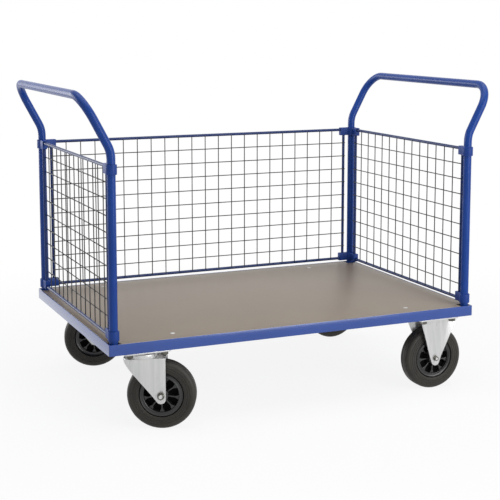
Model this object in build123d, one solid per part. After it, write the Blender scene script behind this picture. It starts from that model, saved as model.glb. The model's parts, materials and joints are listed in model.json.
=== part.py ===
from build123d import *
from math import radians, sqrt, tan
import os

# A platform trolley with mesh sides. X runs along the deck, Y from the open front to the back, Z up.
# All sizes are in millimetres, and the origin is on the floor under the middle of the deck.

# Deck
deck_length = 1200.0
deck_width = 800.0
deck_corner_radius = 4.0
rail_height = 32.0
rail_wall = 3.0
ledge_past_post = 8.0
board_thickness = 12.0
board_drop = 0.5
board_edge_gap = 0.5
board_post_gap = 6.0

# Crossmembers under the board
cross_wall = 3.0
caster_cross_web = 140.0
middle_cross_web = 60.0
cross_flange = 28.0
cross_fold = 3.0

# Wheels
wheel_diameter = 200.0
wheel_width = 50.0
tyre_inner_radius = 65.0
tyre_shoulder_height = 10.0
tyre_shoulder_width = 8.0
rim_width = 42.0
hub_radius = 20.0
hub_side_gap = 3.0
hub_end_play = 0.5
spoke_count = 9
spoke_hub_width = 5.0
spoke_ring_width = 15.0
web_thickness = 6.0
pocket_inner = 22.0
pocket_outer = 50.0
bush_radius = 13.0

# Axles
sleeve_radius = 10.0
bolt_radius = 6.0
bolt_clearance = 0.1
running_clearance = 0.05
bolt_hex = 18.0
bolt_head_height = 8.0
bolt_end = 3.0

# Casters
caster_inset_x = 117.0
caster_inset_y = 58.0
plate_length = 140.0
plate_width = 110.0
plate_thickness = 5.0
plate_corner_radius = 8.0
plate_bolts_x = 105.0
plate_bolts_y = 80.0
spanner_radius = 13.0
spanner_height = 10.0
leg_thickness = 4.0
leg_fold = 6.0
leg_tip_radius = 14.0
leg_tip_drop = 9.0
tyre_headroom = 7.0
crown_thickness = 4.0

# Fixed forks
fixed_leg_top = 129.0
fixed_leg_panel = 44.0
fixed_leg_flare = 18.0

# Swivel forks
swivel_trail = 55.0
front_swivel_turn = -26.0
back_swivel_turn = -15.0
crown_front = 53.0
crown_corner_radius = 25.0
crown_edge_radius = 3.0
crown_lip = 8.0
leg_crease = 26.0
leg_flare = 17.0
swivel_head_height = 18.0
swivel_gap = 0.3
race_cup_radius = 43.0
race_cup_wall = 2.5
race_cup_height = 11.0
dome_top_radius = 39.0
dome_bottom_radius = 33.0
kingpin_radius = 8.0
kingpin_nut_hex = 24.0
kingpin_nut_height = 9.0

# Tube bows
post_inset = 19.0
tube_diameter = 25.0
tube_wall = 2.0
bend_above_panel = 44.0
handle_above_bend = 154.0
bow_lean = 28.0
bow_bend_radius = 80.0
bow_corner_radius = 75.0

# Mesh panels
panel_height = 481.0
panel_above_deck = 16.0
panel_post_gap = 31.0
panel_offset = 2.5
mesh_pitch = 50.0
rod_diameter = 10.0
wire_flats = 3.0
wire_overrun = 3.0

# Corner clips
clip_outer_radius = 16.5
clip_bore_gap = 0.05
clip_over_rod = 8.0
clip_past_rod = 20.0
ear_reach = 46.0
ear_thickness = 15.0

# Heights and places that follow from the sizes above
wheel_radius = wheel_diameter / 2
tube_radius = tube_diameter / 2
rod_radius = rod_diameter / 2
crown_bottom = wheel_diameter + tyre_headroom
crown_top = crown_bottom + crown_thickness
plate_bottom = crown_top + swivel_head_height
rail_bottom = plate_bottom + plate_thickness
ledge_top = rail_bottom + rail_wall
deck_top = rail_bottom + rail_height
board_top = deck_top - board_drop
board_bottom = board_top - board_thickness
panel_bottom = deck_top + panel_above_deck
panel_top = panel_bottom + panel_height
bend_height = panel_top + bend_above_panel
handle_height = bend_height + handle_above_bend
handle_reach = handle_above_bend * tan(radians(bow_lean))
rail_ledge = post_inset + tube_radius + ledge_past_post
post_x = deck_length / 2 - post_inset
post_y = deck_width / 2 - post_inset
caster_x = deck_length / 2 - caster_inset_x
caster_y = deck_width / 2 - caster_inset_y
fork_inside = wheel_width + 2 * hub_side_gap
fork_outside = fork_inside + 2 * leg_thickness
hub_length = fork_inside - 2 * hub_end_play


def save(name, *solids):
    """Write one node: a single solid, or several separate solids that share a name."""
    shape = solids[0] if len(solids) == 1 else Compound(children=list(solids))
    export_step(shape, f"parts/{name}.step")


def bent_sheet(points, thickness, fold):
    """Section of a folded sheet: the line through the points, thickened to its left.

    fold is the inside radius of every fold, whichever way it turns.
    """
    corners = [Vector(*point) for point in points]
    radii = []
    for before, corner, after in zip(corners, corners[1:], corners[2:]):
        turns_left = (corner - before).cross(after - corner).Z > 0
        radii.append(fold + thickness if turns_left else fold)
    line = FilletPolyline(*points, radius=radii)
    return make_face(offset(line, amount=thickness, side=Side.LEFT))


def tube(outer_radius, inner_radius, length):
    """Tube along Z, centred on the origin."""
    return Cylinder(outer_radius, length) - Cylinder(inner_radius, length)


def hexagon(across_flats, height):
    """Hexagonal bar along Z, standing on the origin."""
    return extrude(RegularPolygon(across_flats / 2, 6, major_radius=False), height)


# Deck rails: one rolled angle section around the deck, mitred into four rails
def deck_rails():
    outer = RectangleRounded(deck_length, deck_width, deck_corner_radius)
    inner_length = deck_length - 2 * rail_wall
    inner_width = deck_width - 2 * rail_wall
    inner = RectangleRounded(inner_length, inner_width, deck_corner_radius - rail_wall)
    window = Rectangle(deck_length - 2 * rail_ledge, deck_width - 2 * rail_ledge)
    ring = extrude(outer - window, rail_wall) + extrude(outer - inner, rail_height)
    x = deck_length / 2
    y = deck_width / 2
    front = Polygon((-x, -y), (x, -y), (x - y, 0), (y - x, 0), align=None)
    left = Polygon((-x, -y), (y - x, 0), (-x, y), align=None)
    cuts = {
        "front_rail": front,
        "back_rail": mirror(front, about=Plane.XZ),
        "left_rail": left,
        "right_rail": mirror(left, about=Plane.YZ),
    }
    for name, outline in cuts.items():
        rail = ring & extrude(outline, amount=rail_height)
        save(name, Pos(0, 0, rail_bottom) * rail)


# Crossmembers: top-hat channels between the long rails, open upwards, with flanges that carry the board
def crossmember(web, x):
    half = web / 2
    rise = board_bottom - rail_bottom
    section = bent_sheet(
        [
            (-half - cross_flange, rise - cross_wall),
            (-half, rise - cross_wall),
            (-half, 0),
            (half, 0),
            (half, rise - cross_wall),
            (half + cross_flange, rise - cross_wall),
        ],
        cross_wall,
        cross_fold,
    )
    length = deck_width - 2 * rail_ledge
    channel = extrude(Plane.XZ * section, amount=length / 2, both=True)
    return Pos(x, 0, rail_bottom) * channel


# Deck board: a sheet that drops in between the rails, notched at the corners for the posts
def deck_board():
    edge = rail_wall + board_edge_gap
    length = deck_length - 2 * edge
    width = deck_width - 2 * edge
    notch = post_inset + tube_radius + board_post_gap - edge
    corners = GridLocations(length, width, 2, 2) * Rectangle(2 * notch, 2 * notch)
    return Pos(0, 0, board_bottom) * extrude(Rectangle(length, width) - corners, board_thickness)


# Tube bows: two legs that stand on the rail ledges, lean outwards above the panels and meet in the handle
def bow():
    corners = [
        (0, -post_y, ledge_top),
        (0, -post_y, bend_height),
        (handle_reach, -post_y, handle_height),
        (handle_reach, post_y, handle_height),
        (0, post_y, bend_height),
        (0, post_y, ledge_top),
    ]
    radii = [bow_bend_radius, bow_corner_radius, bow_corner_radius, bow_bend_radius]
    path = FilletPolyline(*corners, radius=radii)
    ring = Circle(tube_radius) - Circle(tube_radius - tube_wall)
    return sweep(Pos(0, -post_y, ledge_top) * ring, path=path)


# Mesh panels, in the XZ plane with the load side towards -Y and the bottom rod's centre line at Z = 0
def panel_rods(width):
    """Rod frame around a panel."""
    half = width / 2
    loop = Polyline(
        (0, 0, panel_height),
        (half, 0, panel_height),
        (half, 0, 0),
        (-half, 0, 0),
        (-half, 0, panel_height),
        close=True,
    )
    start = Plane(origin=(0, 0, panel_height), z_dir=(1, 0, 0))
    return sweep(start * Circle(rod_radius), path=loop, transition=Transition.RIGHT)


def panel_wires(width):
    """Upright wires between the rods of a panel, and level wires welded across their inner side."""
    half = width / 2
    hex_wire = RegularPolygon(wire_flats / 2, 6, major_radius=False)
    butt = sqrt(rod_radius**2 - (rod_radius - wire_flats) ** 2)
    upright = extrude(hex_wire, panel_height - 2 * butt)
    level = extrude(Plane.YZ * Rot(0, 0, 90) * hex_wire, half + wire_overrun, both=True)
    columns = round(width / mesh_pitch)
    rows = round(panel_height / mesh_pitch)
    uprights = [
        Pos(-half + i * width / columns, wire_flats / 2 - rod_radius, butt) * upright
        for i in range(1, columns)
    ]
    levels = [
        Pos(0, -wire_flats / 2 - rod_radius, i * panel_height / rows) * level
        for i in range(1, rows)
    ]
    return uprights + levels


# Corner clips: a collar on the post, with an ear around the corner of each panel
def clip_ear():
    """Ear along +X beside the post's axis, with the panel's corner in it and the side rod leaving downwards."""
    height = clip_over_rod + clip_past_rod
    middle = (clip_over_rod - clip_past_rod) / 2
    ear = Pos(0, 0, middle) * Box(
        ear_reach, ear_thickness, height, align=(Align.MIN, Align.CENTER, Align.CENTER)
    )
    rod_start = panel_post_gap - rod_radius
    level_slot = Pos(rod_start, 0, 0) * Box(
        ear_reach, rod_diameter, rod_diameter, align=(Align.MIN, Align.CENTER, Align.CENTER)
    )
    side_slot = Pos(panel_post_gap, 0, rod_radius) * Box(
        rod_diameter, rod_diameter, 2 * height, align=(Align.CENTER, Align.CENTER, Align.MAX)
    )
    return ear - level_slot - side_slot


def corner_clip(ears):
    """Clip for the top of a post, with its origin on the post's axis, level with the panels' top rods.

    Each ear is the way it points, in degrees from +X, and the side of it that the panel's rods lie on.
    """
    height = clip_over_rod + clip_past_rod
    middle = (clip_over_rod - clip_past_rod) / 2
    clip = Pos(0, 0, middle) * Cylinder(clip_outer_radius, height)
    for turn, side in ears:
        clip += Rot(0, 0, turn) * Pos(0, side * panel_offset, 0) * clip_ear()
    clip -= Pos(0, 0, middle) * Cylinder(tube_radius + clip_bore_gap, height)
    return clip


def clip_pair(x, y, ears):
    """The upper clip and the lower clip, which is the same form turned over, on the post at x, y."""
    upper = corner_clip(ears)
    lower = mirror(upper, about=Plane.XY)
    return Pos(x, y, panel_top) * upper, Pos(x, y, panel_bottom) * lower


# Wheels, built about the origin with the axle along Y
def tyre():
    half = wheel_width / 2
    shoulder = wheel_radius - tyre_shoulder_height
    tread = half - tyre_shoulder_width
    section = Polygon(
        (tyre_inner_radius, -half),
        (shoulder, -half),
        (wheel_radius, -tread),
        (wheel_radius, tread),
        (shoulder, half),
        (tyre_inner_radius, half),
        align=None,
    )
    return revolve(section, axis=Axis.Y)


def rim():
    """Moulded rim: a ring and a hub joined by a web, with flared spokes on both sides of it."""
    ring = Rot(90, 0, 0) * Cylinder(tyre_inner_radius, rim_width)
    hub = Rot(90, 0, 0) * Cylinder(hub_radius, hub_length)
    bore = Rot(90, 0, 0) * Cylinder(bush_radius, hub_length)
    narrow = spoke_hub_width / 2
    wide = spoke_ring_width / 2
    spoke = Polygon(
        (0, -narrow),
        (pocket_inner, -narrow),
        (pocket_outer, -wide),
        (pocket_outer, wide),
        (pocket_inner, narrow),
        (0, narrow),
        align=None,
    )
    depth = (rim_width - web_thickness) / 2
    pockets = Circle(pocket_outer) - Circle(pocket_inner) - PolarLocations(0, spoke_count) * spoke
    front = Plane.XZ.offset(web_thickness / 2) * pockets
    back = Plane.XZ.offset(-web_thickness / 2) * pockets
    return ring + hub - bore - extrude(front, depth) - extrude(back, -depth)


def bush():
    return Rot(90, 0, 0) * tube(bush_radius, sleeve_radius + running_clearance, hub_length)


def sleeve():
    return Rot(90, 0, 0) * tube(sleeve_radius, bolt_radius + bolt_clearance, fork_inside)


def axle_bolt():
    """Bolt with its head at the back leg (+Y), and the nut on its end at the front leg."""
    leg = fork_outside / 2
    head = Pos(0, leg, 0) * Rot(-90, 0, 0) * hexagon(bolt_hex, bolt_head_height)
    shank_length = fork_outside + bolt_head_height + bolt_end
    shank = Pos(0, leg, 0) * Rot(90, 0, 0) * extrude(Circle(bolt_radius), shank_length)
    thread = extrude(Circle(bolt_radius + bolt_clearance), bolt_head_height)
    nut = hexagon(bolt_hex, bolt_head_height) - thread
    return head + shank, Pos(0, -leg, 0) * Rot(90, 0, 0) * nut


# Caster forks, built over the floor with the caster's centre at X = Y = 0
def caster_plate():
    outline = RectangleRounded(plate_length, plate_width, plate_corner_radius)
    return Pos(0, 0, plate_bottom) * extrude(outline, plate_thickness)


def leg_outline(axle_x, top_edge):
    """Side outline of a fork leg: the hull of its top edge and the round tip under the axle."""
    tip = Pos(axle_x, wheel_radius - leg_tip_drop) * Circle(leg_tip_radius)
    return make_hull(tip.edges() + top_edge.edges())


def axle_hole(axle_x):
    hole = Rot(90, 0, 0) * Cylinder(bolt_radius + bolt_clearance, 2 * fork_outside)
    return Pos(axle_x, 0, wheel_radius) * hole


def fixed_fork():
    """Top plate and two pressed legs: a flat panel over the axle, with flanks that flare outwards.

    The flanks are notched under the plate's bolts, to let a spanner in.
    """
    top = fixed_leg_top / 2
    panel = fixed_leg_panel / 2
    inside = fork_inside / 2
    plan = bent_sheet(
        [
            (-top, inside + fixed_leg_flare),
            (-panel, inside),
            (panel, inside),
            (top, inside + fixed_leg_flare),
        ],
        leg_thickness,
        leg_fold,
    )
    outline = leg_outline(0, Polyline((-top, plate_bottom), (top, plate_bottom)))
    profile = extrude(Plane.XZ * outline, plate_width / 2, both=True)
    leg = extrude(plan, plate_bottom) & profile
    bolts = Sketch() + GridLocations(plate_bolts_x, plate_bolts_y, 2, 2) * Circle(spanner_radius)
    leg -= Pos(0, 0, plate_bottom - spanner_height) * extrude(bolts, spanner_height)
    return caster_plate() + leg + mirror(leg, about=Plane.XZ) - axle_hole(0)


def swivel_plate():
    """Top plate with the domed upper race of the swivel under it."""
    floor = crown_top + swivel_gap
    dome = Polygon(
        (kingpin_radius, plate_bottom),
        (dome_top_radius, plate_bottom),
        (dome_bottom_radius, floor),
        (kingpin_radius, floor),
        align=None,
    )
    pin_hole = Pos(0, 0, plate_bottom) * Cylinder(kingpin_radius, 2 * plate_thickness)
    return caster_plate() - pin_hole + revolve(Plane.XZ * dome, axis=Axis.Z)


def kingpin():
    """Pin riveted in the plate, with the nut under the crown that carries the fork."""
    nut_top = crown_bottom - swivel_gap
    shank = Pos(0, 0, nut_top) * extrude(Circle(kingpin_radius), rail_bottom - nut_top)
    nut = Pos(0, 0, nut_top - kingpin_nut_height) * hexagon(kingpin_nut_hex, kingpin_nut_height)
    return shank + nut


def swivel_fork():
    """Crown with its race cup, and a pressed skirt around it that runs down into the two legs."""
    rear = swivel_trail + leg_tip_radius
    side = fork_outside / 2
    front_corners = [(-crown_front, -side - leg_flare), (-crown_front, side + leg_flare)]
    outline = Polygon(
        (rear, -side),
        (rear, side),
        (leg_crease, side),
        front_corners[1],
        front_corners[0],
        (leg_crease, -side),
        align=None,
    )
    corners = outline.vertices().sort_by(Axis.X)[:2]
    plan = fillet(corners, crown_corner_radius)
    skirt = plan - offset(plan, amount=-leg_thickness, kind=Kind.INTERSECTION)
    lip_bottom = crown_top - crown_lip
    top_edge = Polyline((-crown_front, lip_bottom), (-crown_front, crown_top), (rear, crown_top))
    profile = extrude(Plane.XZ * leg_outline(swivel_trail, top_edge), plate_length, both=True)
    fork = extrude(skirt, crown_top) & profile
    fork += Pos(0, 0, crown_bottom) * extrude(plan, crown_thickness)
    fork = fillet(fork.faces().sort_by(Axis.Z)[-1].outer_wire().edges(), crown_edge_radius)
    rear_gap = Pos(rear, 0, 0) * Box(
        2 * leg_thickness, fork_inside, crown_bottom, align=(Align.CENTER, Align.CENTER, Align.MIN)
    )
    cup = extrude(Circle(race_cup_radius) - Circle(race_cup_radius - race_cup_wall), race_cup_height)
    fork += Pos(0, 0, crown_top) * cup
    pin_hole = Pos(0, 0, crown_bottom) * Cylinder(kingpin_radius + running_clearance, 4 * crown_thickness)
    return fork - rear_gap - pin_hole - axle_hole(swivel_trail)


os.makedirs("parts", exist_ok=True)

# Deck and what stands on it
deck_rails()
save("left_crossmember", crossmember(caster_cross_web, -caster_x))
save("middle_crossmember", crossmember(middle_cross_web, 0))
save("right_crossmember", crossmember(caster_cross_web, caster_x))
save("deck_board", deck_board())

right_bow = Pos(post_x, 0, 0) * bow()
save("right_bow", right_bow)
save("left_bow", mirror(right_bow, about=Plane.YZ))

back_width = 2 * (post_x - panel_post_gap)
end_width = 2 * (post_y - panel_post_gap)
panel_x = post_x + panel_offset
panel_y = post_y + panel_offset
panel_places = {
    "back": (back_width, Pos(0, panel_y, panel_bottom)),
    "left": (end_width, Pos(-panel_x, 0, panel_bottom) * Rot(0, 0, 90)),
    "right": (end_width, Pos(panel_x, 0, panel_bottom) * Rot(0, 0, -90)),
}
for side, (width, place) in panel_places.items():
    save(f"{side}_panel", place * panel_rods(width))
    save(f"{side}_mesh", *[place * wire for wire in panel_wires(width)])

# Ears point along the panels, with the panels' rods on their outer side
clip_places = {
    "front_left_clips": (-post_x, -post_y, [(90, 1)]),
    "front_right_clips": (post_x, -post_y, [(90, -1)]),
    "back_left_clips": (-post_x, post_y, [(-90, -1), (0, 1)]),
    "back_right_clips": (post_x, post_y, [(-90, 1), (180, -1)]),
}
for name, (x, y, ears) in clip_places.items():
    save(name, *clip_pair(x, y, ears))

# Fixed casters under the right end
fixed_places = {"front_right": Pos(caster_x, -caster_y, 0), "back_right": Pos(caster_x, caster_y, 0)}
axle_height = Pos(0, 0, wheel_radius)
save("fixed_forks", *[place * fixed_fork() for place in fixed_places.values()])
fixed_axles = [place * axle_height for place in fixed_places.values()]
save("fixed_axle_bolts", *[axle * piece for axle in fixed_axles for piece in axle_bolt()])
save("fixed_axle_sleeves", *[axle * sleeve() for axle in fixed_axles])

# Swivel casters under the left end, each turned as it stands
swivel_centres = {"front_left": Pos(-caster_x, -caster_y, 0), "back_left": Pos(-caster_x, caster_y, 0)}
swivel_turns = {"front_left": front_swivel_turn, "back_left": back_swivel_turn}
save("swivel_plates", *[centre * swivel_plate() for centre in swivel_centres.values()])
save("kingpins", *[centre * kingpin() for centre in swivel_centres.values()])
wheel_places = {name: place * axle_height for name, place in fixed_places.items()}
for name, centre in swivel_centres.items():
    turned = centre * Rot(0, 0, swivel_turns[name])
    axle_place = turned * Pos(swivel_trail, 0, wheel_radius)
    wheel_places[name] = axle_place
    save(f"{name}_fork", turned * swivel_fork())
    save(f"{name}_axle_bolt", *[axle_place * piece for piece in axle_bolt()])
    save(f"{name}_axle_sleeve", axle_place * sleeve())

for name, place in wheel_places.items():
    save(f"{name}_tyre", place * tyre())
    save(f"{name}_rim", place * rim())
    save(f"{name}_bush", place * bush())
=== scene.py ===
# %% [markdown]
# # A mesh-sided platform trolley
# The real thing is a flat deck on four casters, with mesh panels on three sides and a bent tube bow at
# each end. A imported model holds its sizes, its joints and its hidden pieces. It is loaded first and never
# moved. Each step below gives one of its nodes a finish, or models a finer piece that stands in the node's
# place.

# %% Load the frame
import json
from math import cos, pi, radians, sin, sqrt

import bpy
from mathutils import Matrix, Vector

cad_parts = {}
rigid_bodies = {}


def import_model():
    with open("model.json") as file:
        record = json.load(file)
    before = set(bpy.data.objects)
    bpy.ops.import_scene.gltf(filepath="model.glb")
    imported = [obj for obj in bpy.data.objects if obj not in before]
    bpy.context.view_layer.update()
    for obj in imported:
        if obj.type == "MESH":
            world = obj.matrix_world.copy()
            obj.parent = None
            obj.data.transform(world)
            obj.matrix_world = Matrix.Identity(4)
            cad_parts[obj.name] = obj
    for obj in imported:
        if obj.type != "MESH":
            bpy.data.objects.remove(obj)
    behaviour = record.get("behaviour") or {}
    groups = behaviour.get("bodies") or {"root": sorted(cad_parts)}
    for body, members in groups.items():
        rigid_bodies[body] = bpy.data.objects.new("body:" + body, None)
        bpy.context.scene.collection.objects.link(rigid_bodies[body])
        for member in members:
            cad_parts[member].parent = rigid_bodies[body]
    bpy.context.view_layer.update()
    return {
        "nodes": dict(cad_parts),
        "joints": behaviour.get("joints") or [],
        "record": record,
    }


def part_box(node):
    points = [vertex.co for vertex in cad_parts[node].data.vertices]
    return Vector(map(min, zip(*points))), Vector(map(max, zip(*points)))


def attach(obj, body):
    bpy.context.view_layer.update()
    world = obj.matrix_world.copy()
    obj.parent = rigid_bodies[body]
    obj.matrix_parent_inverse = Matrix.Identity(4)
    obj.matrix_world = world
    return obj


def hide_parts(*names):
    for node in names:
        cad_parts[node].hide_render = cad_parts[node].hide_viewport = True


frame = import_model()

mm = 0.001

# %% [markdown]
# ## The camera
# The viewpoint comes before the pieces, so that every later picture can be laid beside the photograph. A
# camera could be aimed by eye, but here its place was worked out from the crossings of the mesh, which is
# a ruler that runs through the whole picture. The long lens keeps the verticals nearly upright, and a
# small shift lowers the frame without tilting the camera, as a studio camera does.

# %% Camera
camera_place = Vector((-1.5725, -3.5787, 1.1672))
camera_turn = -23.78
camera_pitch = -7.52
lens = 87.77
sensor_width = 36
frame_shift = -0.14

camera_data = bpy.data.cameras.new("studio_camera")
camera_data.sensor_width = sensor_width
camera_data.lens = lens
camera_data.shift_y = frame_shift
camera = bpy.data.objects.new("studio_camera", camera_data)
camera.location = camera_place
camera.rotation_euler = (radians(90 + camera_pitch), 0, radians(camera_turn))
bpy.context.scene.collection.objects.link(camera)
bpy.context.scene.camera = camera
print("camera", round(camera_place.length, 2), "m from the middle of the floor")

# %% [markdown]
# ## Finishes
# Every finish starts from the same shader, and differs in its colour, its gloss and the small unevenness
# that tells paint from plastic. An image could give that unevenness, but noise on object coordinates gives
# it at a real size and on every side: its scale counts waves in a metre, so 900 is a grain of about a
# millimetre. Numbers that hold all over a surface are set on the shader itself, and only what varies is
# linked.

# %% A helper that makes noise at a real size
def noise(tree, scale, detail, stretch=1.0):
    """Noise with so many waves in a metre. A stretch under 1 draws it out into upright streaks."""
    place = tree.nodes.new("ShaderNodeTexCoord")
    drawn = tree.nodes.new("ShaderNodeMapping")
    drawn.inputs["Scale"].default_value = (1, 1, stretch)
    waves = tree.nodes.new("ShaderNodeTexNoise")
    waves.inputs["Scale"].default_value = scale
    waves.inputs["Detail"].default_value = detail
    tree.links.new(place.outputs["Object"], drawn.inputs["Vector"])
    tree.links.new(drawn.outputs["Vector"], waves.inputs["Vector"])
    return waves.outputs["Fac"]


# %% [markdown]
# One slow noise drifts the colour and the gloss together, as thicker and thinner paint does, and one fine
# noise gives the grain of the surface as a bump. Noise stays near its middle value, so the colour ramp's
# two stops are pulled in from the ends, and both colours come out in full.

# %% A helper that makes a finish
drift_detail = 4
grain_detail = 3
colour_stops = (0.35, 0.65)


def finish(name, colours, patch, roughness, grain, bump, stretch=1.0, **shader_values):
    """Material that drifts between two colours, with uneven gloss and a fine grain.

    patch and grain are waves in a metre, roughness is the lowest and highest, and bump is a depth in metres.
    """
    material = bpy.data.materials.new(name)
    material.use_nodes = True
    tree = material.node_tree
    shader = tree.nodes["Principled BSDF"]
    for socket, value in shader_values.items():
        shader.inputs[socket.replace("_", " ")].default_value = value
    drift = noise(tree, patch, drift_detail, stretch)
    tint = tree.nodes.new("ShaderNodeValToRGB")
    for stop, colour, position in zip(tint.color_ramp.elements, colours, colour_stops):
        stop.position = position
        stop.color = (*colour, 1)
    tree.links.new(drift, tint.inputs["Fac"])
    tree.links.new(tint.outputs["Color"], shader.inputs["Base Color"])
    gloss = tree.nodes.new("ShaderNodeMapRange")
    gloss.inputs["To Min"].default_value, gloss.inputs["To Max"].default_value = roughness
    tree.links.new(drift, gloss.inputs["Value"])
    tree.links.new(gloss.outputs["Result"], shader.inputs["Roughness"])
    relief = tree.nodes.new("ShaderNodeBump")
    relief.inputs["Strength"].default_value = 1
    relief.inputs["Distance"].default_value = bump
    tree.links.new(noise(tree, grain, grain_detail), relief.inputs["Height"])
    tree.links.new(relief.outputs["Normal"], shader.inputs["Normal"])
    print("finish", name)
    return material


# %% [markdown]
# The steelwork is powder coated blue, all of it in one paint. Thin and thick pieces take the light
# differently, so there are three copies of it: a satin one on the bows, one with a clear gloss on the
# rails, which mirror the pale floor at a low angle, and whose blue is made lighter as painted light, and
# one on the rods, whose blue is made darker as painted shade. The corner clips are moulded plastic in
# nearly the same blue.

# %% Finishes in blue
tube_paint = finish("tube_paint", [(0.008, 0.046, 0.250), (0.010, 0.054, 0.280)], patch=5,
                    roughness=(0.22, 0.27), grain=700, bump=0.002 * mm, Specular_IOR_Level=0.18)
# Painted light: the rails' blue is a little lighter than the bows', while their clear gloss is real.
rail_gloss_and_painted_light = finish("rail_gloss_and_painted_light", [(0.008, 0.050, 0.275), (0.010, 0.058, 0.305)], patch=5,
                    roughness=(0.20, 0.26), grain=700, bump=0.006 * mm, Specular_IOR_Level=0.20,
                    Coat_Weight=1.0, Coat_Roughness=0.16, Coat_IOR=1.5)
# Painted shade: the rods' blue is darker than the bows', though it is the same paint.
rod_blue_painted_shade = finish("rod_blue_painted_shade", [(0.012, 0.030, 0.125), (0.016, 0.036, 0.145)], patch=40,
                   roughness=(0.24, 0.32), grain=900, bump=0.006 * mm, Specular_IOR_Level=0.2)
clip_blue = finish("clip_plastic", [(0.010, 0.042, 0.22), (0.013, 0.050, 0.25)], patch=30,
                   roughness=(0.36, 0.44), grain=1500, bump=0.01 * mm, Specular_IOR_Level=0.2)

# %% [markdown]
# The mesh wires are a dull grey. The casters are bright zinc over pressed steel, with faint upright
# streaks from the rolling of the sheet, so their patches are drawn out. The nuts and bolts are a warmer
# zinc, made darker as painted shade.

# %% Finishes in bare and plated metal
wire_grey = finish("mesh_wire", [(0.040, 0.040, 0.041), (0.060, 0.060, 0.061)], patch=60,
                   roughness=(0.40, 0.55), grain=900, bump=0.02 * mm, Metallic=0.3, Specular_IOR_Level=0.3)
zinc = finish("zinc_plate", [(0.56, 0.563, 0.565), (0.64, 0.64, 0.635)], patch=90, stretch=0.08,
              roughness=(0.24, 0.36), grain=500, bump=0.008 * mm, Metallic=0.6)
# Painted shade: the nuts, bolts and kingpins are darker than their zinc is; their warm tint is real.
fastener_zinc_and_painted_shade = finish("fastener_zinc_and_painted_shade", [(0.075, 0.072, 0.062), (0.15, 0.145, 0.125)], patch=70,
                       roughness=(0.22, 0.34), grain=1200, bump=0.01 * mm, Metallic=0.85)

# %% [markdown]
# The deck is a coated board, taupe and satin, smooth enough to mirror the posts in a blur. The tyres are
# dull black rubber with a brown cast. They sit on black moulded rims, whose web lies deep and is made
# blacker and duller as painted shade, and the rims turn on pale nylon bushes.

# %% Finishes for the deck and the wheels
board_taupe = finish("deck_coating", [(0.230, 0.185, 0.143), (0.250, 0.203, 0.157)], patch=3,
                     roughness=(0.36, 0.42), grain=1100, bump=0.006 * mm, Specular_IOR_Level=0.4)
tyre_rubber = finish("tyre_rubber", [(0.022, 0.020, 0.0165), (0.032, 0.029, 0.024)], patch=25,
                     roughness=(0.44, 0.58), grain=1400, bump=0.04 * mm, Specular_IOR_Level=0.32)
rim_plastic = finish("rim_plastic", [(0.014, 0.014, 0.015), (0.020, 0.020, 0.021)], patch=40,
                     roughness=(0.26, 0.36), grain=1500, bump=0.01 * mm, Specular_IOR_Level=0.5)
# Painted shade: the deep web is blacker and duller than the rim plastic around it.
rim_web_painted_shade = finish("rim_web_painted_shade", [(0.003, 0.003, 0.0035), (0.005, 0.005, 0.0055)], patch=40,
                   roughness=(0.70, 0.85), grain=1500, bump=0.03 * mm, Specular_IOR_Level=0.08)
bush_nylon = finish("bush_nylon", [(0.50, 0.49, 0.45), (0.56, 0.55, 0.50)], patch=60,
                    roughness=(0.35, 0.45), grain=1500, bump=0.01 * mm)

# %% [markdown]
# ## Working as at the screen
# The operators below are the ones behind Blender's menus, and they act on whatever is selected. So each
# step first deselects everything, then selects one piece, and in edit mode selects vertices or faces by
# their place. Mesh data could be written point by point instead, but these are the steps that a modeller
# takes by hand.

# %% Helpers for selecting and shaping
def choose(*pieces):
    """Object mode, with only these pieces selected and the first of them active."""
    if bpy.context.mode != "OBJECT":
        bpy.ops.object.mode_set(mode="OBJECT")
    bpy.ops.object.select_all(action="DESELECT")
    for piece in pieces:
        piece.select_set(True)
    bpy.context.view_layer.objects.active = pieces[0] if pieces else None


def pick(kind, wanted):
    """In edit mode, select only the vertices or faces of the active piece that pass a test."""
    mesh = bpy.context.object.data
    bpy.ops.object.mode_set(mode="EDIT")
    bpy.ops.mesh.select_mode(type=kind)
    bpy.ops.mesh.select_all(action="DESELECT")
    bpy.ops.object.mode_set(mode="OBJECT")
    for part in {"VERT": mesh.vertices, "FACE": mesh.polygons}[kind]:
        part.select = wanted(part)
    bpy.ops.object.mode_set(mode="EDIT")


def apply_modifier(piece, kind, **settings):
    """Add a modifier, set it and apply it."""
    modifier = piece.modifiers.new(kind.title(), kind)
    for name, value in settings.items():
        setattr(modifier, name, value)
    choose(piece)
    bpy.ops.object.modifier_apply(modifier=modifier.name)


choose()
print("nothing selected, in", bpy.context.mode.lower(), "mode")

# %% [markdown]
# A finished piece has its place in its mesh and its object at the origin. It rides on one body of the
# frame, and hides the node that it stands for, if there is one. What repeats is modelled once, and each
# copy gets a mesh of its own, so that it can be moved and joined without touching the others.

# %% Helpers for joining, copying and handing over
slot_of = {part["node"]: part["material_slot"] for part in frame["record"]["subparts"]}
body_of = {node: body for body, nodes in frame["record"]["behaviour"]["bodies"].items() for node in nodes}


def join(*pieces):
    """Join pieces into the first of them."""
    choose(*pieces)
    bpy.ops.object.join()
    return pieces[0]


def copy_to(piece, name, place):
    """Copy of a finished shape, with its own mesh moved to a place."""
    copy = bpy.data.objects.new(name, piece.data.copy())
    copy.data.transform(place)
    bpy.context.scene.collection.objects.link(copy)
    return copy


def hand_over(piece, name, body, material, slot, *nodes, smooth=30):
    """Name a finished piece, give it its finish, and let it ride on a body in place of some nodes."""
    piece.name = name
    piece.data.name = name
    choose(piece)
    bpy.ops.object.transform_apply(location=True, rotation=True, scale=True)
    bpy.ops.object.shade_smooth_by_angle(angle=radians(smooth))
    piece.data.materials.clear()
    piece.data.materials.append(material)
    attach(piece, body)
    if nodes:
        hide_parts(*nodes)
    print(name, len(piece.data.polygons), "faces, on", body)


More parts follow.
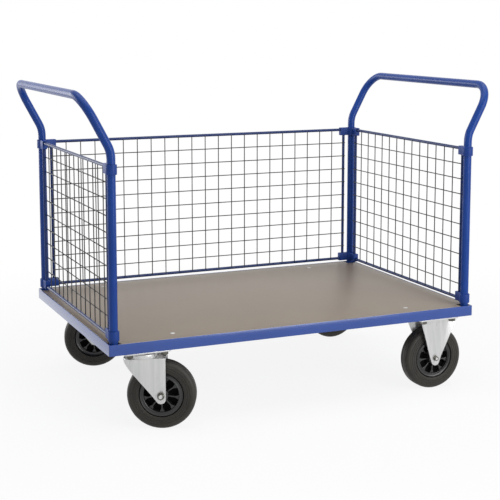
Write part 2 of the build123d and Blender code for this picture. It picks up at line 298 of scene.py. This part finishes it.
# %% [markdown]
# ## Deck, clips and casters with softened edges
# Folded rails, moulded clips and pressed forks have the right form in the frame, but their edges are knife
# sharp. A real edge has a small radius that catches the light, and without it a render looks like a
# drawing. So each of these nodes is copied, its triangles are merged back into whole faces, and a Bevel
# modifier rounds every edge that turns by more than a limit. Curved faces turn by less from facet to
# facet, so they are left alone.

# %% A helper that rounds the edges of a copied node
merge_distance = 0.001 * mm
flat_turn = 0.5
edge_turn = 18


def soften(node, material, radius, steps=2):
    """Copy of a node with its edges rounded to a radius, which takes the node's place."""
    name = f"{node}_soft"
    piece = bpy.data.objects.new(name, frame["nodes"][node].data.copy())
    bpy.context.scene.collection.objects.link(piece)
    choose(piece)
    bpy.ops.mesh.customdata_custom_splitnormals_clear()
    bpy.ops.object.mode_set(mode="EDIT")
    bpy.ops.mesh.select_all(action="SELECT")
    bpy.ops.mesh.remove_doubles(threshold=merge_distance)
    bpy.ops.mesh.dissolve_limited(angle_limit=radians(flat_turn))
    bpy.ops.object.mode_set(mode="OBJECT")
    apply_modifier(piece, "BEVEL", width=radius, segments=steps, limit_method="ANGLE",
                   angle_limit=radians(edge_turn), use_clamp_overlap=True)
    hand_over(piece, name, body_of[node], material, slot_of[node], node)


print("edges are rounded where they turn by more than", edge_turn, "degrees")

# %% [markdown]
# The radius tells how a piece was made. A rail is folded from sheet, which rounds its edges most, a clip
# comes out of a mould with eased edges, and a pressing or a sawn board has only its burr taken off.

# %% Soften the deck, the clips and the pressings
corners = ("front_left", "front_right", "back_left", "back_right")
rail_edge = 1.4 * mm
crossmember_edge = 0.5 * mm
board_edge = 0.6 * mm
clip_edge = 1.2 * mm
pressing_edge = 0.8 * mm
kingpin_edge = 0.6 * mm

for side in ("front", "back", "left", "right"):
    soften(f"{side}_rail", rail_gloss_and_painted_light, rail_edge, steps=3)
for place in ("left", "middle", "right"):
    soften(f"{place}_crossmember", rail_gloss_and_painted_light, crossmember_edge)
soften("deck_board", board_taupe, board_edge)
for corner in corners:
    soften(f"{corner}_clips", clip_blue, clip_edge, steps=3)
for node in ("fixed_forks", "swivel_plates", "front_left_fork", "back_left_fork"):
    soften(node, zinc, pressing_edge)
soften("kingpins", fastener_zinc_and_painted_shade, kingpin_edge)

# %% [markdown]
# ## Tube bows
# Each bow is one tube, bent outwards above the panels and round into the handle. The frame already sweeps
# that tube along its line, so the node stays as it is and only gets its paint. The steel sleeves and the
# nylon bushes around the axles are nodes of the frame too, and are just seen between fork and hub.

# %% Paint the nodes that stay
kept = {"left_bow": tube_paint, "right_bow": tube_paint, "fixed_axle_sleeves": zinc}
kept.update({f"{corner}_axle_sleeve": zinc for corner in ("front_left", "back_left")})
kept.update({f"{corner}_bush": bush_nylon for corner in corners})
for node, material in kept.items():
    for material_slot in frame["nodes"][node].material_slots:
        material_slot.material = material
print("painted", len(kept), "nodes as they are")

# %% [markdown]
# ## Mesh panels
# A panel is a rod frame with thin wires welded across it: uprights between the rods, and level wires over
# their inner side. The rod could be four cylinders and four elbows, but a plane does it in a few steps:
# its edge is the rod's centre line, its corners are bevelled to the bend, and as a curve it takes a round
# section.

# %% Rod frame from the edge of a plane
rod_bend = 10 * mm
rod_bend_steps = 6
rod_roundness = 6


def rod_frame(width, height, radius):
    """Rod frame in the XZ plane, with its bottom rod's centre line at Z = 0."""
    choose()
    bpy.ops.mesh.primitive_plane_add(size=1, location=(0, 0, height / 2), rotation=(pi / 2, 0, 0))
    bpy.context.object.scale = (width, height, 1)
    bpy.ops.object.transform_apply(location=True, rotation=True, scale=True)
    bpy.ops.object.mode_set(mode="EDIT")
    bpy.ops.mesh.select_all(action="SELECT")
    bpy.ops.mesh.delete(type="ONLY_FACE")
    bpy.ops.mesh.select_all(action="SELECT")
    bpy.ops.mesh.bevel(offset=rod_bend, segments=rod_bend_steps, affect="VERTICES")
    bpy.ops.object.mode_set(mode="OBJECT")
    bpy.ops.object.convert(target="CURVE")
    bpy.context.object.data.bevel_depth = radius
    bpy.context.object.data.bevel_resolution = rod_roundness
    bpy.ops.object.convert(target="MESH")
    return bpy.context.object


print("rod corners are bevelled by", rod_bend, "m in", rod_bend_steps, "steps")

# %% [markdown]
# One wire is a twelve-sided cylinder with its ends eased, and an Array modifier repeats it at the mesh
# pitch. Copies in a loop would do the same, but the modifier keeps a whole row as one shape with one
# spacing.

# %% A row of wires
wire_radius = 1.65 * mm
wire_sides = 12
wire_ease = 0.4 * mm
end_margin = 0.1 * mm


def array(piece, count, step):
    """Repeat a piece, each time a step further."""
    apply_modifier(piece, "ARRAY", count=count, use_relative_offset=False, use_constant_offset=True,
                   constant_offset_displace=step)


def wire_row(length, centre, turn, count, step):
    """Row of wires: the first one around its centre, the others each a step further."""
    choose()
    bpy.ops.mesh.primitive_cylinder_add(vertices=wire_sides, radius=wire_radius, depth=length)
    piece = bpy.context.object
    pick("FACE", lambda face: abs(face.center.z) > length / 2 - end_margin)
    bpy.ops.mesh.bevel(offset=wire_ease, segments=2, affect="EDGES")
    bpy.ops.object.mode_set(mode="OBJECT")
    piece.location = centre
    piece.rotation_euler = turn
    bpy.ops.object.transform_apply(location=True, rotation=True, scale=True)
    array(piece, count, step)
    return piece


print("wires are", round(2 * wire_radius, 5), "m thick")

# %% [markdown]
# The wires are welded where they cross, and the weld squeezes a little metal out at the sides. A smooth
# ball in each of the hundreds of crossings would cost many thousands of faces, so each weld is a ball of
# only twenty.

# %% Welds, and all wires of a panel
mesh_pitch = 50 * mm
wire_overrun = 3 * mm
weld_radius = 1.3 * wire_radius


def weld_grid(first, columns, rows, step_x, step_z):
    """Grid of welds in the XZ plane, from the first one on."""
    choose()
    bpy.ops.mesh.primitive_ico_sphere_add(subdivisions=1, radius=weld_radius, location=first)
    piece = bpy.context.object
    bpy.ops.object.transform_apply(location=True, rotation=True, scale=True)
    array(piece, columns, (step_x, 0, 0))
    array(piece, rows, (0, 0, step_z))
    return piece


def mesh_wires(width, height, rod_radius):
    """All wires of a panel in the XZ plane, with the load side towards -Y, as rod_frame lays it."""
    columns = round(width / mesh_pitch)
    rows = round(height / mesh_pitch)
    step_x = width / columns
    step_z = height / rows
    first_x = step_x - width / 2
    upright_y = wire_radius - rod_radius
    level_y = -wire_radius - rod_radius
    uprights = wire_row(height, (first_x, upright_y, height / 2), (0, 0, 0), columns - 1, (step_x, 0, 0))
    level_length = width + 2 * wire_overrun
    levels = wire_row(level_length, (0, level_y, step_z), (0, pi / 2, 0), rows - 1, (0, 0, step_z))
    welds = weld_grid((first_x, -rod_radius, step_z), columns - 1, rows - 1, step_x, step_z)
    return join(uprights, levels, welds)


print("welds are", round(2 * weld_radius, 5), "m wide, about", mesh_pitch, "m apart")

# %% [markdown]
# The three panels differ only in width and in the way they face. Each is made lying along X at the origin
# and then moved to its place as a whole, with the level wires on the load side, so the sizes are read off
# the frame's own nodes: the box of a panel is its rods, outside to outside.

# %% Place the panels
panel_turns = {"back": 0, "left": 90, "right": -90}
panel_smooth = 60

for side, turn in panel_turns.items():
    low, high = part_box(f"{side}_panel")
    size = high - low
    rod_radius = min(size.x, size.y) / 2
    width = max(size.x, size.y) - 2 * rod_radius
    height = size.z - 2 * rod_radius
    middle = (low + high) / 2
    foot = Matrix.Translation((middle.x, middle.y, low.z + rod_radius))
    place = foot @ Matrix.Rotation(radians(turn), 4, "Z")
    rods = rod_frame(width, height, rod_radius)
    rods.data.transform(place)
    hand_over(rods, f"{side}_panel_rods", "trolley", rod_blue_painted_shade, "blue_paint", f"{side}_panel",
              smooth=panel_smooth)
    wires = mesh_wires(width, height, rod_radius)
    wires.data.transform(place)
    hand_over(wires, f"{side}_mesh_wires", "trolley", wire_grey, "mesh_wire", f"{side}_mesh",
              smooth=panel_smooth)

# %% [markdown]
# ## Wheels
# A tyre and a rim are turned shapes, so they are drawn as half a section and spun round the axle, as on a
# lathe. The section could be a curve, but extruding a single vertex from point to point keeps every corner
# where it is wanted. The wheel is made once about the origin, with its axle along Y, and then copied to
# the four axles.

# %% A helper that turns a section about the axle
wheel_steps = 108
same_point = 0.01 * mm


def lathe(section, steps=wheel_steps):
    """Spin a closed section of (radius, y) points about the Y axis."""
    choose()
    bpy.ops.mesh.primitive_plane_add(size=1 * mm)
    bpy.ops.object.mode_set(mode="EDIT")
    bpy.ops.mesh.select_mode(type="VERT")
    bpy.ops.mesh.select_all(action="SELECT")
    bpy.ops.mesh.merge(type="CENTER")
    bpy.ops.transform.translate(value=(*section[0], 0))
    for before, after in zip(section, section[1:]):
        step = (after[0] - before[0], after[1] - before[1], 0)
        bpy.ops.mesh.extrude_region_move(TRANSFORM_OT_translate={"value": step})
    bpy.ops.object.mode_set(mode="OBJECT")
    ends = [Vector((*point, 0)) for point in (section[0], section[-1])]
    pick("VERT", lambda vertex: min((vertex.co - end).length for end in ends) < same_point)
    bpy.ops.mesh.edge_face_add()
    bpy.ops.mesh.select_all(action="SELECT")
    bpy.ops.mesh.spin(steps=steps, angle=2 * pi, center=(0, 0, 0), axis=(0, 1, 0))
    bpy.ops.mesh.select_all(action="SELECT")
    bpy.ops.mesh.remove_doubles(threshold=merge_distance)
    bpy.ops.mesh.normals_make_consistent(inside=False)
    bpy.ops.object.mode_set(mode="OBJECT")
    return bpy.context.object


print("wheels are turned in", wheel_steps, "steps")

# %% [markdown]
# Two small helpers draw the sections. A wheel is the same on both sides, so only one half is drawn and the
# other is its mirror image. Round stretches are points on an oval, worked out and not placed one by one.

# %% Helpers for drawing a section
def mirrored(half_section):
    """Whole section from its half with positive y, mirrored to the other side of the wheel."""
    return half_section + [(radius, -y) for radius, y in reversed(half_section)]


def bend(radius, y, reach, rise, first, last, steps):
    """Points on an oval bend about a centre at (radius, y), from one angle to another, 0 being its top."""
    angles = [radians(first + (last - first) * i / steps) for i in range(steps + 1)]
    return [(radius + reach * sin(angle), y + rise * cos(angle)) for angle in angles]


# %% [markdown]
# The tyre is solid rubber with rounded shoulders. Three low rings stand on each sidewall, and thin grooves
# run round the tread. They could be a bump in the material, but they are cut into the section, so that
# they are real steps in the mesh and show at the edge of the wheel as well as on its face.

# %% Sidewall of the tyre
tyre_half = 25 * mm
bead_radius = 65 * mm
bead_half = 17 * mm
bead_reach = 3.6 * mm
bead_rise = 3 * mm
ring_radii = [72 * mm, 78.5 * mm, 85 * mm]
ring_half = 1.3 * mm
ring_slope = 0.8 * mm
ring_height = 1.1 * mm
wall = tyre_half - ring_height

tyre_section = [(bead_radius, bead_half)]
tyre_section += bend(bead_radius + bead_reach, wall - bead_rise, bead_reach, bead_rise,
                     first=-90, last=0, steps=3)
for radius in ring_radii:
    tyre_section += [
        (radius - ring_half - ring_slope, wall),
        (radius - ring_half, tyre_half),
        (radius + ring_half, tyre_half),
        (radius + ring_half + ring_slope, wall),
    ]
print("sidewall with", len(ring_radii), "rings")

# %% [markdown]
# From the sidewall the section goes on over the shoulder and across the tread to the middle of the wheel.
# The tread is very slightly crowned, so each groove's outer edge lies a little lower than its inner one.

# %% Shoulder and tread of the tyre
tyre_radius = 100 * mm
shoulder_start = 88 * mm
shoulder_reach = 12 * mm
shoulder_rise = 14 * mm
shoulder_turn = 66.5
groove_places = [13 * mm, 6.5 * mm]
groove_half = 0.7 * mm
groove_depth = 1.0 * mm
groove_ease = 0.3 * mm
outer_drop = 0.3 * mm
inner_drop = 0.1 * mm
tread_flat = 2 * mm

tyre_section += bend(shoulder_start, wall - shoulder_rise, shoulder_reach, shoulder_rise,
                     first=0, last=shoulder_turn, steps=5)
for y in groove_places:
    tyre_section += [
        (tyre_radius - outer_drop, y + groove_half + groove_ease),
        (tyre_radius - groove_depth, y + groove_half),
        (tyre_radius - groove_depth, y - groove_half),
        (tyre_radius - inner_drop, y - groove_half - groove_ease),
    ]
tyre_section.append((tyre_radius, tread_flat))
tyre = lathe(mirrored(tyre_section))
print("tyre from a section of", 2 * len(tyre_section), "points")

# %% [markdown]
# The rim is black plastic: a hub, a dished ring under the tyre and a thin web between them. The three come
# from the lathe. The web stays a piece of its own, because it lies deep between the spokes and gets a
# blacker, duller finish than the rest as painted shade.

# %% Hub, ring and web of the rim
rim_half = 21 * mm
hub_radius = 20 * mm
hub_half = 27.5 * mm
hub_foot = 1 * mm
bore_radius = 13 * mm
web_half = 3 * mm
ring_inner = 50 * mm
sunk = 1 * mm
edge = 0.8 * mm
# Millimetres out from the ring's inner edge or from the bead, and up from the rim's face
inner_lip = [(0.8, -2.4), (1.4, -0.4), (2.6, 0.4), (4.2, -0.4), (7.5, -1.8)]
outer_lip = [(-4.6, -0.8), (-3.2, 0.0), (-1.8, -1.2), (-0.2, -4.0)]

hub = lathe(mirrored([
    (bore_radius, hub_half - edge),
    (bore_radius + edge, hub_half),
    (hub_radius - edge, hub_half),
    (hub_radius, hub_half - edge),
    (hub_radius + hub_foot, web_half / 2),
]))
ring_section = [(ring_inner, web_half / 2)]
ring_section += [(ring_inner + out * mm, rim_half + up * mm) for out, up in inner_lip]
ring_section += [(bead_radius + out * mm, rim_half + up * mm) for out, up in outer_lip]
ring = lathe(mirrored(ring_section))
web = lathe(mirrored([(hub_radius - sunk, web_half), (ring_inner + sunk, web_half)]))
print("hub, ring and web turned")

# %% [markdown]
# Nine flared spokes stand out on each side of the web. One spoke starts as a cube that goes through the
# web to both sides. Its outer end is extruded and widened, its edges are rounded, and it is copied around
# the axle.

# %% Spokes
spoke_count = 9
spoke_width = 4 * mm
spoke_half = rim_half - 4 * mm
flare_start = 40 * mm
flare_width = 15 * mm
facing = 0.9


def spoke():
    """One spoke along +X: a thin blade through the web, which flares where it meets the ring."""
    start = hub_radius - sunk
    end = ring_inner + sunk
    choose()
    bpy.ops.mesh.primitive_cube_add(size=1, location=((start + flare_start) / 2, 0, 0))
    piece = bpy.context.object
    piece.scale = (flare_start - start, 2 * spoke_half, spoke_width)
    bpy.ops.object.transform_apply(location=True, rotation=True, scale=True)
    pick("FACE", lambda face: face.normal.x > facing)
    bpy.ops.mesh.extrude_region_move(TRANSFORM_OT_translate={"value": (end - flare_start, 0, 0)})
    bpy.ops.transform.resize(value=(1, 1, flare_width / spoke_width), center_override=(end, 0, 0))
    pick("FACE", lambda face: abs(face.normal.y) > facing)
    bpy.ops.mesh.bevel(offset=edge, segments=2, affect="EDGES")
    bpy.ops.object.mode_set(mode="OBJECT")
    return piece


first_spoke = spoke()
spokes = []
for i in range(spoke_count):
    spokes.append(copy_to(first_spoke, "spoke", Matrix.Rotation(2 * pi * i / spoke_count, 4, "Y")))
bpy.data.objects.remove(first_spoke)
rim = join(hub, ring, *spokes)
print("rim with", spoke_count, "spokes")

# %% [markdown]
# ## Bolts, nuts and washers
# A nut is a hexagon whose corners are turned off by a cone. In edit mode that takes many cuts, but as an
# overlap of two simple shapes it is one step: a Boolean modifier keeps what a hexagon and a cone-ended
# disc have in common. The cones run on past the hexagon's ends and are turned off its corners, because a
# Boolean leaves slivers where two faces or edges lie in one place. Each fastener is made once, standing on
# Z = 0.

# %% A helper that makes a hexagon
turned_steps = 36
corner_share = 0.6
flat_share = 0.475
cone_slope = 0.58
cone_past = 1 * mm
cone_turn = 5


def turned(profile):
    """Spin (radius, height) points about the Z axis: the lathe's Y axis is stood upright."""
    piece = lathe(profile, turned_steps)
    piece.data.transform(Matrix.Rotation(pi / 2, 4, "X"))
    return piece


def hexagon(across, height):
    """Hexagon standing on Z = 0, with its corners chamfered at both ends."""
    choose()
    bpy.ops.mesh.primitive_cylinder_add(vertices=6, radius=across / sqrt(3), depth=height,
                                        location=(0, 0, height / 2))
    piece = bpy.context.object
    bpy.ops.object.transform_apply(location=True, rotation=True, scale=True)
    full = corner_share * across
    flat = flat_share * across
    drop = (full - flat) * cone_slope
    tip = flat - cone_past / cone_slope
    cone = turned([(0, -cone_past), (tip, -cone_past), (full, drop),
                   (full, height - drop), (tip, height + cone_past), (0, height + cone_past)])
    cone.data.transform(Matrix.Rotation(radians(cone_turn), 4, "Z"))
    apply_modifier(piece, "BOOLEAN", operation="INTERSECT", object=cone)
    bpy.data.objects.remove(cone)
    pick("VERT", lambda vertex: True)
    bpy.ops.mesh.remove_doubles(threshold=same_point)
    bpy.ops.mesh.dissolve_degenerate(threshold=same_point)
    bpy.ops.object.mode_set(mode="OBJECT")
    return piece


print("fasteners are turned in", turned_steps, "steps")

# %% [markdown]
# A washer and the end of a bolt are turned shapes again. A thread is really a helix, but at this size
# closed grooves at its pitch look the same and take a fraction of the faces.

# %% Helpers for a washer, a bolt end and a nut
def washer(radius, hole, thickness):
    """Flat washer with eased outer edges."""
    ease = 0.25 * thickness
    return turned([(hole, 0), (radius - ease, 0), (radius, ease), (radius, thickness - ease),
                   (radius - ease, thickness), (hole, thickness)])


def bolt_end(radius, height):
    """Threaded end of a bolt: grooves at the thread's pitch, and a chamfered tip."""
    pitch = 0.25 * radius
    depth = 0.1 * radius
    profile = [(0, 0)]
    level = 0
    while level + pitch < height - pitch:
        profile += [(radius, level + 0.2 * pitch), (radius - depth, level + 0.6 * pitch)]
        level += pitch
    profile += [(radius, height - 1.2 * pitch), (radius - 2 * depth, height), (0, height)]
    return turned(profile)


def nut_on_washer(across, height, washer_radius, washer_thickness, bolt_radius):
    """Nut on its washer, up to a height. The end of the bolt, which stands out of it, is made apart."""
    nut = hexagon(across, height - washer_thickness)
    nut.data.transform(Matrix.Translation((0, 0, washer_thickness)))
    return join(nut, washer(washer_radius, bolt_radius, washer_thickness))


# %% [markdown]
# The axle bolt runs through hub and fork. Its nut shows on the outer leg, with the bright end of the bolt
# in it, and its head is on the inner leg. The fixed casters have a thinner bolt and a smaller nut than the
# ones that swivel. The plates are held by four nuts each from below, and a flat round screw head near each
# corner of the deck holds the board down.

# %% Make each fastener once
axle_bolt_radius = 6 * mm
axle_across = 18 * mm
axle_nut_height = 8 * mm
axle_end_height = 11 * mm
fixed_bolt_radius = 4.5 * mm
fixed_across = 14 * mm
fixed_nut_height = 7 * mm
fixed_end_height = 9 * mm
plate_bolt_radius = 5 * mm
plate_end_height = 14 * mm
# Radius and height in millimetres, from the axis under the deck to the recess in the head
screw_profile = [(0, -2), (7, -2), (7, 0.2), (6, 0.8), (4, 1.1), (2, 1.2), (1.6, 0.4), (0, 0.4)]

axle_nut = nut_on_washer(axle_across, axle_nut_height, washer_radius=10.5 * mm, washer_thickness=1.2 * mm,
                         bolt_radius=axle_bolt_radius)
axle_end = bolt_end(axle_bolt_radius, axle_end_height)
axle_head = hexagon(axle_across, axle_nut_height)
fixed_nut = nut_on_washer(fixed_across, fixed_nut_height, washer_radius=8 * mm, washer_thickness=1 * mm,
                          bolt_radius=fixed_bolt_radius)
fixed_end = bolt_end(fixed_bolt_radius, fixed_end_height)
fixed_head = hexagon(fixed_across, fixed_nut_height)
plate_nut = nut_on_washer(across=19 * mm, height=10 * mm, washer_radius=11.5 * mm, washer_thickness=2 * mm,
                          bolt_radius=plate_bolt_radius)
plate_nut = join(plate_nut, bolt_end(plate_bolt_radius, plate_end_height))
deck_screw = turned([(radius * mm, height * mm) for radius, height in screw_profile])
print("fasteners made")

# %% [markdown]
# ## Put the wheels and fasteners in place
# The joints know where every axle is: each wheel's hinge gives a point on its axle and the axle's
# direction. A matrix built from them carries the copies there, turned casters included, so nothing is
# placed by eye. Each wheel is also turned a little about its axle, so that the four don't stand alike.

# %% Wheels and axle fasteners
def along(axis, point):
    """Matrix that lays the Y axis along a direction, keeps X level, and moves the origin to a point."""
    y = Vector(axis).normalized()
    z = Vector((0, 0, 1))
    x = y.cross(z)
    return Matrix.Translation(point) @ Matrix((x, y, z)).transposed().to_4x4()


fork_half = 32 * mm
tyre_smooth = 24
wheel_turns = {"front_left": 8, "back_left": 10, "front_right": 14, "back_right": 5}
to_front = Matrix.Translation((0, -fork_half, 0)) @ Matrix.Rotation(pi / 2, 4, "X")
to_back = Matrix.Translation((0, fork_half, 0)) @ Matrix.Rotation(-pi / 2, 4, "X")
fixed_fasteners = []
for joint in frame["joints"]:
    if not joint["name"].endswith("_wheel_spin"):
        continue
    corner = joint["name"].removesuffix("_wheel_spin")
    axle = along(joint["axis"], joint["pos_m"])
    spun = axle @ Matrix.Rotation(radians(wheel_turns[corner]), 4, "Y")
    body = f"{corner}_wheel"
    hand_over(copy_to(tyre, "tyre", spun), f"{corner}_tyre_rubber", body, tyre_rubber, "tyre",
              f"{corner}_tyre", smooth=tyre_smooth)
    hand_over(copy_to(rim, "rim", spun), f"{corner}_rim_moulding", body, rim_plastic, "rim", f"{corner}_rim")
    # The web's finish carries the painted shade of the deep rim.
    hand_over(copy_to(web, "web", spun), f"{corner}_rim_web", body, rim_web_painted_shade, "rim")
    fixed = joint["parent"] == "trolley"
    nut, end, head = (fixed_nut, fixed_end, fixed_head) if fixed else (axle_nut, axle_end, axle_head)
    fasteners = [copy_to(nut, "nut", axle @ to_front), copy_to(head, "head", axle @ to_back)]
    hand_over(copy_to(end, "end", axle @ to_front), f"{corner}_bolt_end", joint["parent"], zinc, "zinc")
    if fixed:
        fixed_fasteners += fasteners
    else:
        hand_over(join(*fasteners), f"{corner}_axle_fasteners", joint["parent"], fastener_zinc_and_painted_shade, "zinc",
                  f"{corner}_axle_bolt")
hand_over(join(*fixed_fasteners), "fixed_axle_fasteners", "trolley", fastener_zinc_and_painted_shade, "zinc",
          "fixed_axle_bolts")

# %% [markdown]
# The caster plates are bolted to the crossmembers from below, four nuts to a plate. The swivel plates'
# node gives the casters' places: they lie at the same distance from the middle at both ends, so the fixed
# ones mirror them.

# %% Plate nuts
plate_half_width = 55 * mm
plate_thickness = 5 * mm
plate_bolts_x = 52.5 * mm
plate_bolts_y = 40 * mm

low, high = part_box("swivel_plates")
plate_bottom = high.z - plate_thickness
caster_x = -(low.x + high.x) / 2
caster_y = high.y - plate_half_width
upside_down = Matrix.Rotation(pi, 4, "X")
plate_nuts = []
for x in (-caster_x, caster_x):
    for y in (-caster_y, caster_y):
        for dx in (-plate_bolts_x, plate_bolts_x):
            for dy in (-plate_bolts_y, plate_bolts_y):
                place = Matrix.Translation((x + dx, y + dy, plate_bottom)) @ upside_down
                plate_nuts.append(copy_to(plate_nut, "plate_nut", place))
hand_over(join(*plate_nuts), "plate_nuts", "trolley", fastener_zinc_and_painted_shade, "zinc")

# %% [markdown]
# The deck screws go through the board near its four corners, and their heads stand just proud of it. With
# them in place, the patterns that the copies were made from are taken away.

# %% Deck screws
screw_x = 390 * mm
screw_y = 340 * mm

deck_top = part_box("deck_board")[1].z
deck_screws = []
for x in (-screw_x, screw_x):
    for y in (-screw_y, screw_y):
        deck_screws.append(copy_to(deck_screw, "deck_screw", Matrix.Translation((x, y, deck_top))))
hand_over(join(*deck_screws), "deck_screws", "trolley", zinc, "zinc")

axle_patterns = (axle_nut, axle_end, axle_head, fixed_nut, fixed_end, fixed_head)
for pattern in (tyre, rim, web, *axle_patterns, plate_nut, deck_screw):
    bpy.data.objects.remove(pattern)

# %% [markdown]
# ## Studio
# The trolley stands on a white floor under soft light from large panels. A white floor could be overlit
# until it burns out, but then the trolley would be overlit too. Instead floor and surroundings give a
# plain white to the camera and to reflections, and light the trolley at an ordinary level, and the floor
# keeps its soft shadow.

# %% A helper that tells seen rays from lighting rays
def seen_or_mirrored(tree):
    """1 for camera, glossy and transmission rays, and 0 for the rays that carry light."""
    rays = tree.nodes.new("ShaderNodeLightPath")
    result = rays.outputs["Is Camera Ray"]
    for name in ("Is Glossy Ray", "Is Transmission Ray"):
        either = tree.nodes.new("ShaderNodeMath")
        either.operation = "MAXIMUM"
        tree.links.new(result, either.inputs[0])
        tree.links.new(rays.outputs[name], either.inputs[1])
        result = either.outputs["Value"]
    return result


# %% [markdown]
# The floor is one large plane of matt white paper. A curved backdrop would hide the line where a floor
# ends, but here the surroundings are as white as the floor, so there is no line to hide.

# %% Floor of white paper
floor_size = 60
paper_white = (0.88, 0.88, 0.88, 1)
paper_roughness = 0.9

choose()
bpy.ops.mesh.primitive_plane_add(size=floor_size)
floor = bpy.context.object
floor.name = "studio_floor"
floor_finish = bpy.data.materials.new("studio_floor")
floor_finish.use_nodes = True
tree = floor_finish.node_tree
paper = tree.nodes["Principled BSDF"]
paper.inputs["Base Color"].default_value = paper_white
paper.inputs["Roughness"].default_value = paper_roughness
paper.inputs["Specular IOR Level"].default_value = 0
floor.data.materials.append(floor_finish)
print("floor of", floor_size, "m laid")

# %% [markdown]
# What is seen of the paper gives way to plain white with the distance from the trolley. Close to the
# wheels a little of the paper shows, and with it the shadow, and further out nothing tells floor from
# background.

# %% Floor that fades into white
shadow_near = 0.8
shadow_far = 2.2
white_near = 0.88

place = tree.nodes.new("ShaderNodeTexCoord")
distance = tree.nodes.new("ShaderNodeVectorMath")
distance.operation = "LENGTH"
tree.links.new(place.outputs["Object"], distance.inputs[0])
fade = tree.nodes.new("ShaderNodeMapRange")
fade.interpolation_type = "SMOOTHSTEP"
fade.inputs["From Min"].default_value = shadow_near
fade.inputs["From Max"].default_value = shadow_far
fade.inputs["To Min"].default_value = white_near
tree.links.new(distance.outputs["Value"], fade.inputs["Value"])
lift = tree.nodes.new("ShaderNodeMath")
lift.operation = "MULTIPLY"
tree.links.new(seen_or_mirrored(tree), lift.inputs[0])
tree.links.new(fade.outputs["Result"], lift.inputs[1])
glow = tree.nodes.new("ShaderNodeEmission")
mix = tree.nodes.new("ShaderNodeMixShader")
tree.links.new(lift.outputs["Value"], mix.inputs["Fac"])
tree.links.new(paper.outputs["BSDF"], mix.inputs[1])
tree.links.new(glow.outputs["Emission"], mix.inputs[2])
tree.links.new(mix.outputs["Shader"], tree.nodes["Material Output"].inputs["Surface"])
print("floor fades from", shadow_near, "to", shadow_far, "m")

# %% [markdown]
# The surroundings are a white world. It is plain white where it is seen or mirrored, and only a quarter as
# bright as a source of light, which leaves the shaping of the trolley to the lamps.

# %% Surroundings
world_light = 0.25

world = bpy.data.worlds.new("studio")
bpy.context.scene.world = world
world.use_nodes = True
tree = world.node_tree
background = tree.nodes["Background"]
background.inputs["Color"].default_value = (1, 1, 1, 1)
level = tree.nodes.new("ShaderNodeMapRange")
level.inputs["To Min"].default_value = world_light
tree.links.new(seen_or_mirrored(tree), level.inputs["Value"])
tree.links.new(level.outputs["Result"], background.inputs["Strength"])
print("surroundings at", world_light)

# %% [markdown]
# Four softboxes light the trolley: one overhead for the deck, a large one from the right of the camera, a
# small low one for the casters, and a broad low one from behind that draws the edges of the posts. Small
# lamps would be simpler, but their crisp reflections break up into dots on thin round tubes.

# %% Lamps
def softbox(name, place, target, size, power):
    """Rectangular lamp at a place, facing a target, with its size in metres and its power in watts."""
    data = bpy.data.lights.new(name, "AREA")
    data.shape = "RECTANGLE"
    data.size, data.size_y = size
    data.energy = power
    lamp = bpy.data.objects.new(name, data)
    lamp.location = place
    lamp.rotation_euler = (Vector(target) - Vector(place)).to_track_quat("-Z", "Y").to_euler()
    bpy.context.scene.collection.objects.link(lamp)
    print(name, power, "W")


softbox("overhead_light", (0, -0.3, 3.5), (0, 0, 0.3), (4, 3), 70)
softbox("right_light", (1.8, -3.6, 1.8), (0, 0, 0.5), (3.0, 2.8), 80)
softbox("low_front_light", (1.3, -3.2, 0.45), (0, 0, 0.4), (1.2, 0.7), 12)
softbox("low_back_light", (-4.2, 4.2, 1.4), (-0.6, 0, 0.4), (5.0, 2.7), 150)
bpy.context.scene.view_settings.view_transform = "Standard"
